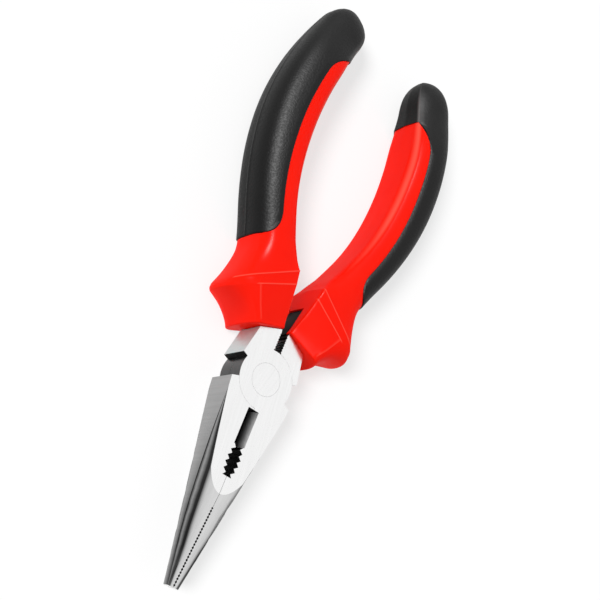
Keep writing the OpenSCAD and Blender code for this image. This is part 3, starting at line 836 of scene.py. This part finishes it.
def rolled_sheet(name, rings):
    """A grid primitive rolled into a tube, one row of the grid for each ring of points."""
    bpy.ops.object.select_all(action="DESELECT")
    bpy.ops.mesh.primitive_grid_add(x_subdivisions=len(rings[0]) - 1, y_subdivisions=len(rings) - 1, size=1)
    piece = bpy.context.object
    piece.name = piece.data.name = name
    piece.data.vertices.foreach_set("co", np.asarray(rings, np.float32).ravel())
    piece.data.update()
    return piece


def mark_lines(piece, values):
    """Keep the painted highlight of each point of a sheet, as an attribute that the materials read."""
    highlight_share = piece.data.attributes.new("highlight_strength", "FLOAT", "POINT")
    highlight_share.data.foreach_set("value", np.concatenate(values))


def weld_and_close(piece, largest_hole=0):
    """Merge the seam, fill the holes of up to so many sides, or all for 0, and point every face outwards."""
    bpy.ops.object.mode_set(mode="EDIT")
    bpy.ops.mesh.select_mode(type="VERT")
    bpy.ops.mesh.select_all(action="SELECT")
    bpy.ops.mesh.remove_doubles(threshold=SEAM_REACH)
    bpy.ops.mesh.fill_holes(sides=largest_hole)
    bpy.ops.mesh.select_all(action="SELECT")
    bpy.ops.mesh.normals_make_consistent(inside=False)
    bpy.ops.object.mode_set(mode="OBJECT")


print("sheet helpers ready")

# %% [markdown]
# ## Red sleeve
# The sleeve is injection moulded over the bar of the handle. It shows on the guard and as a strip along the
# inner side, and under the overmould it is set back by the overmould's depth, with an upright wall round the
# edge. Its first rows round the rim, the guard's moulded lines stand a little proud and carry painted
# highlights, and it ends hidden inside the overmould.

# %% Rows of the sleeve
RIM_ROUND = 0.5
ROW_STEP = 0.35
BLOCK_START = 1.6
RIM_ROWS, BLOCK_ROWS, FLANGE_ROWS, NECK_ROWS = 5, 9, 5, 18
LIP_ROWS, LIP_CROWDING, STRIP_ROWS = 14, 1.7, 48
LOWER_ROW, UPPER_ROW = STATIONS[CRISP_ROWS[0], 0], STATIONS[CRISP_ROWS[1], 0]

guard_rows = np.concatenate([
    RIM_ROUND * np.linspace(0, 1, RIM_ROWS) ** 2,
    np.linspace(BLOCK_START, LOWER_ROW - ROW_STEP, BLOCK_ROWS), [LOWER_ROW],
    np.linspace(LOWER_ROW + ROW_STEP, UPPER_ROW - ROW_STEP, FLANGE_ROWS), [UPPER_ROW],
    np.linspace(UPPER_ROW + ROW_STEP, MOULD_START - ROW_STEP / 2, NECK_ROWS)])
lip_rows = MOULD_START + EDGE_RUN * np.linspace(0, 1, LIP_ROWS) ** LIP_CROWDING
strip_rows = np.linspace(MOULD_START + EDGE_RUN, MOULD_CLOSE, STRIP_ROWS)[1:]
sleeve_rows = np.concatenate([guard_rows, lip_rows, strip_rows])
print("rows of the sleeve", len(sleeve_rows))

# %% Painted highlights on the moulded lines and the crease
# the painted highlight on the guard's outer edge is this share of the one on the other lines
OUTER_EDGE_HIGHLIGHT = 0.55
LOWER_FROM, UPPER_FROM, FLANGE_TO = 0.9, 0.4, 2.1
CREASE_FADE_IN, CREASE_FADE_OUT = (22.0, 60.0), (112.0, 124.0)
RED_CREASE, BLACK_CREASE = 0.095, 0.035


def on_line(along, turns):
    """1 on the flange's two edges and the guard's crease, less on its outer edge, and 0 elsewhere."""
    turn = np.abs(turns)
    lower = (along == LOWER_ROW) & (turn > LOWER_FROM)
    upper = (along == UPPER_ROW) & (turn > UPPER_FROM)
    flange = (turn < FLANGE_TO) & (lower | upper)
    edge = np.isclose(turn, 1) & (along < LOWER_ROW) & (along > RIM_ROUND)
    crease = np.isclose(turn, 2) & (along < UPPER_ROW) & (along > RIM_ROUND)
    return np.maximum((flange | crease) * 1.0, edge * OUTER_EDGE_HIGHLIGHT)


def on_crease(along, turns, reach):
    """Up to 1 on the handle's crease, where a highlight is painted, falling softly to both sides of it."""
    highlight_share = ramp(along, *CREASE_FADE_IN) * (1 - ramp(along, *CREASE_FADE_OUT))
    turn = np.abs(turns)
    return highlight_share * np.exp(-((turn - 2) / np.where(turn < 2, reach, 2 * reach)) ** 2)


print("moulded lines on rows", LOWER_ROW, "and", UPPER_ROW)

# %% Roll the sleeve
MOULD_PROUD, MOULD_WALL, SEAT_PLAY = 0.37, 2.0, 0.06
LINE_RISE = 0.08


def sleeve_ring(along):
    """A ring of the sleeve: rounded at the rim, raised on the lines, and set back under the overmould."""
    turns = ring_turns(along)
    ring = section(along, turns)
    if along < RIM_ROUND:
        return section(along, turns, -RIM_ROUND + math.sqrt(RIM_ROUND ** 2 - (RIM_ROUND - along) ** 2))
    if along < MOULD_START:
        raised = section(along, turns, LINE_RISE)
        return np.where(on_line(along, turns)[:, None] > 0, raised, ring)
    seat = section(along, turns, MOULD_PROUD - MOULD_WALL - SEAT_PLAY)
    covered = np.abs(turns) < mould_edge(along) - WALL_TURN / 2
    return np.where(covered[:, None], seat, ring)


sleeve = rolled_sheet("right_grip_sleeve_skin", [sleeve_ring(a) for a in sleeve_rows])
# the guard's lines and the handle's crease carry a painted highlight
mark_lines(sleeve, [np.maximum(on_line(a, ring_turns(a)), on_crease(a, ring_turns(a), RED_CREASE))
                    for a in sleeve_rows])
weld_and_close(sleeve)
print(sleeve.name, len(sleeve.data.polygons), "faces")

# %% [markdown]
# ## Pocket and window
# The bar of the forging slides into a pocket in the sleeve, and a window in the guard's inner side lets the
# crimping teeth of the tang show. Both are cut with Boolean modifiers. The cutters are boxes rolled round the
# same path: a long one that bends with the bar, and a short one for the window.

# %% Cut the sleeve
BAR_WIDTH, BAR_DEPTH, BAR_LENGTH = 6.2, 9.4, 92.0
POCKET_PLAY = 0.1
POCKET_ROWS = 20
WINDOW_LENGTH, WINDOW_REACH, WINDOW_HALF = 11.0, 14.0, 4.1
CUT_START = -3.0
SLEEVE_SMOOTH = 32


def box_ring(along, outer, inner, half_height):
    """A rectangular ring across the path, between an outer and an inner side."""
    return place(along, [outer, outer, inner, inner, outer], np.array([-1, 1, 1, -1, -1]) * half_height)


half_width, half_depth = BAR_WIDTH / 2 + POCKET_PLAY, BAR_DEPTH / 2 + POCKET_PLAY
pocket_rows = np.concatenate([[CUT_START], np.linspace(STRAIGHT, BAR_LENGTH + POCKET_PLAY, POCKET_ROWS)])
pocket = rolled_sheet("pocket", [box_ring(a, half_width, -half_width, half_depth) for a in pocket_rows])
window = rolled_sheet("window", [box_ring(a, 0.0, -WINDOW_REACH, WINDOW_HALF)
                                 for a in (CUT_START, WINDOW_LENGTH)])
for cutter in (pocket, window):
    make_active(cutter)
    weld_and_close(cutter)
    apply_modifier(sleeve, "BOOLEAN", operation="DIFFERENCE", object=cutter, solver="EXACT")
    bpy.data.objects.remove(cutter)
smooth_by_angle(sleeve, SLEEVE_SMOOTH)
print(sleeve.name, len(sleeve.data.polygons), "faces after the cuts")

# %% [markdown]
# ## Black overmould
# The overmould is a soft shell over the sleeve's back and end. It starts as the same rolled sheet, a little
# proud of the sleeve, with a lip that is let down along its edges, where the fingers feel it. The columns
# that leave the red strip bare are deleted, the end is closed, and Solidify gives the wall its thickness.

# %% Roll the overmould
LIP_ROUND = 0.3
PARTING_RISE = 0.14
MOULD_INSET = SEAT_PLAY / 10
END_ROWS, END_GAP = 28, 0.01

end_turn = np.linspace(0, math.pi / 2, END_ROWS)
end_rows = MOULD_CLOSE + (GRIP_LENGTH - END_GAP - MOULD_CLOSE) * np.sin(end_turn)
shell_rows = np.concatenate([lip_rows, strip_rows, end_rows[1:]])


def shell_ring(along):
    """A ring of the overmould, with its lip let down along both of its edges."""
    turns = ring_turns(along, MOULD_INSET)
    at_start = max(0.0, 1 - (along - MOULD_START) / LIP_ROUND)
    at_edge = np.abs(turns) > mould_edge(along) - WALL_TURN / 2
    drop = LIP_ROUND * np.maximum(at_start ** 2, at_edge * (along < MOULD_CLOSE))
    return section(along, turns, MOULD_PROUD - drop, PARTING_RISE)


overmould = rolled_sheet("right_grip_overmould_skin", [shell_ring(a) for a in shell_rows])
# a painted highlight along the crease of the end cap
mark_lines(overmould, [on_crease(a, ring_turns(a, MOULD_INSET), BLACK_CREASE) * (a >= MOULD_CLOSE)
                       for a in shell_rows])
print(overmould.name, len(overmould.data.polygons), "faces in the tube")

# %% Open the strip and thicken the wall
MOULD_SMOOTH = 40
first_bare = 2 * COVERED_POINTS
strip_count = len(lip_rows) + len(strip_rows)


def bare(vertices):
    """True for a face of the sheet in the columns and rows that stay red."""
    columns = [v % ring_size for v in vertices]
    rows = [v // ring_size for v in vertices]
    return min(columns) >= first_bare and max(rows) < strip_count


def select_faces(piece, wanted):
    """Select the faces for which wanted(vertex indices) is true, and nothing else."""
    bpy.ops.object.mode_set(mode="EDIT")
    bpy.ops.mesh.select_mode(type="FACE")
    bpy.ops.mesh.select_all(action="DESELECT")
    bpy.ops.object.mode_set(mode="OBJECT")
    for face in piece.data.polygons:
        face.select = bool(wanted(face.vertices))
    bpy.ops.object.mode_set(mode="EDIT")


select_faces(overmould, bare)
bpy.ops.mesh.delete(type="FACE")
bpy.ops.object.mode_set(mode="OBJECT")
weld_and_close(overmould, largest_hole=ring_size)
apply_modifier(overmould, "SOLIDIFY", thickness=MOULD_WALL * MM, offset=-1.0, use_even_offset=False)
smooth_by_angle(overmould, MOULD_SMOOTH)
print(overmould.name, len(overmould.data.polygons), "faces in the shell")

# %% [markdown]
# ## Red plastic and black rubber
# The red is a hard plastic with a full pigment: slow clouds in its colour, a thin gloss coat and hardly any
# waviness. The black is a soft rubber: a broad dull highlight and a fine moulded grain. Both come out of a
# mould, so one function makes both, with other values. Their pale lines are painted highlights along the
# moulded edges and creases. They could be painted on a picture, but the meshes already know where they run
# and carry them as an attribute.

# %% Grip materials
COAT_ROUGHNESS = 0.22


def moulded(name, dark, light, pale, roughness, gloss, coat, grain_scale, bump, line_low, line_strength):
    """A moulded material: grain in bump and roughness, clouds in the colour, and painted highlight lines."""
    material, tree, shader = new_material(name)
    marks = add_node(tree, "ShaderNodeGroup", {"Grain Scale": grain_scale}, node_tree=grain)
    line = add_node(tree, "ShaderNodeGroup", {"Low": line_low, "Strength": line_strength},
                    node_tree=pale_line_group)
    clouded = mix_colours(tree, marks.outputs["Cloud"], dark, light)
    lined = mix_colours(tree, line.outputs["Pale"], clouded, pale)
    tree.links.new(lined, shader.inputs["Base Color"])
    rough_and_relief(tree, shader, marks.outputs["Grain"], roughness, marks.outputs["Grain"], bump)
    shader.inputs["Specular IOR Level"].default_value = gloss
    shader.inputs["Coat Weight"].default_value = coat
    shader.inputs["Coat Roughness"].default_value = COAT_ROUGHNESS
    return material


# pale is the colour of the painted highlight lines
red_plastic = moulded("red_plastic", dark=(0.92, 0.007, 0.0012, 1), light=(0.98, 0.012, 0.002, 1),
                      pale=(1.0, 0.35, 0.25, 1), roughness=0.4, gloss=0.0, coat=0.15,
                      grain_scale=1200.0, bump=0.02, line_low=0.2, line_strength=0.22)
black_rubber = moulded("black_rubber", dark=grey(0.004), light=grey(0.008),
                       pale=grey(0.4), roughness=0.48, gloss=0.13, coat=0.0,
                       grain_scale=1500.0, bump=1.0, line_low=0.0, line_strength=0.6)
sleeve.data.materials.append(red_plastic)
overmould.data.materials.append(black_rubber)
print("grips", red_plastic.name, black_rubber.name)

# %% [markdown]
# ## The left grip
# The left grip is the right one seen in a mirror. A copy of each mesh is scaled by minus one across the tool.
# That turns its faces inside out, so their normals are turned back at once.

# %% Mirror the grips
def mirrored(piece, name):
    """A mirrored copy of a piece with its own mesh."""
    twin = copy_mesh(piece.data, name)
    twin.scale = (-1, 1, 1)
    bpy.ops.object.transform_apply(location=False, rotation=False, scale=True)
    bpy.ops.object.mode_set(mode="EDIT")
    bpy.ops.mesh.select_all(action="SELECT")
    bpy.ops.mesh.normals_make_consistent(inside=False)
    bpy.ops.object.mode_set(mode="OBJECT")
    return twin


left_sleeve = mirrored(sleeve, "left_grip_sleeve_skin")
left_overmould = mirrored(overmould, "left_grip_overmould_skin")
print("mirrored", left_sleeve.name, left_overmould.name)

# %% [markdown]
# ## What moves with what
# The rear half, the rivet and the right grip are one lever. The front half and the left grip are the other,
# and it turns on the rivet. Each dressed piece rides on its lever and stands for its node.

# %% Ride on the levers
for piece, body, node, slot in (
    (halves["rear_half"], "rear_lever", "rear_half", "forged_steel"),
    (rivet, "rear_lever", "pivot_rivet", "rivet_steel"),
    (sleeve, "rear_lever", "right_grip_sleeve", "red_plastic"),
    (overmould, "rear_lever", "right_grip_overmould", "black_rubber"),
    (halves["front_half"], "front_lever", "front_half", "forged_steel"),
    (left_sleeve, "front_lever", "left_grip_sleeve", "red_plastic"),
    (left_overmould, "front_lever", "left_grip_overmould", "black_rubber"),
):
    if piece in (sleeve, left_sleeve):
        lit_by["sleeves"].objects.link(piece)
    if piece in (overmould, left_overmould):
        lit_by["overmoulds"].objects.link(piece)
    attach(piece, body)
    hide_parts(node)
    print(piece.name, "rides on", body)
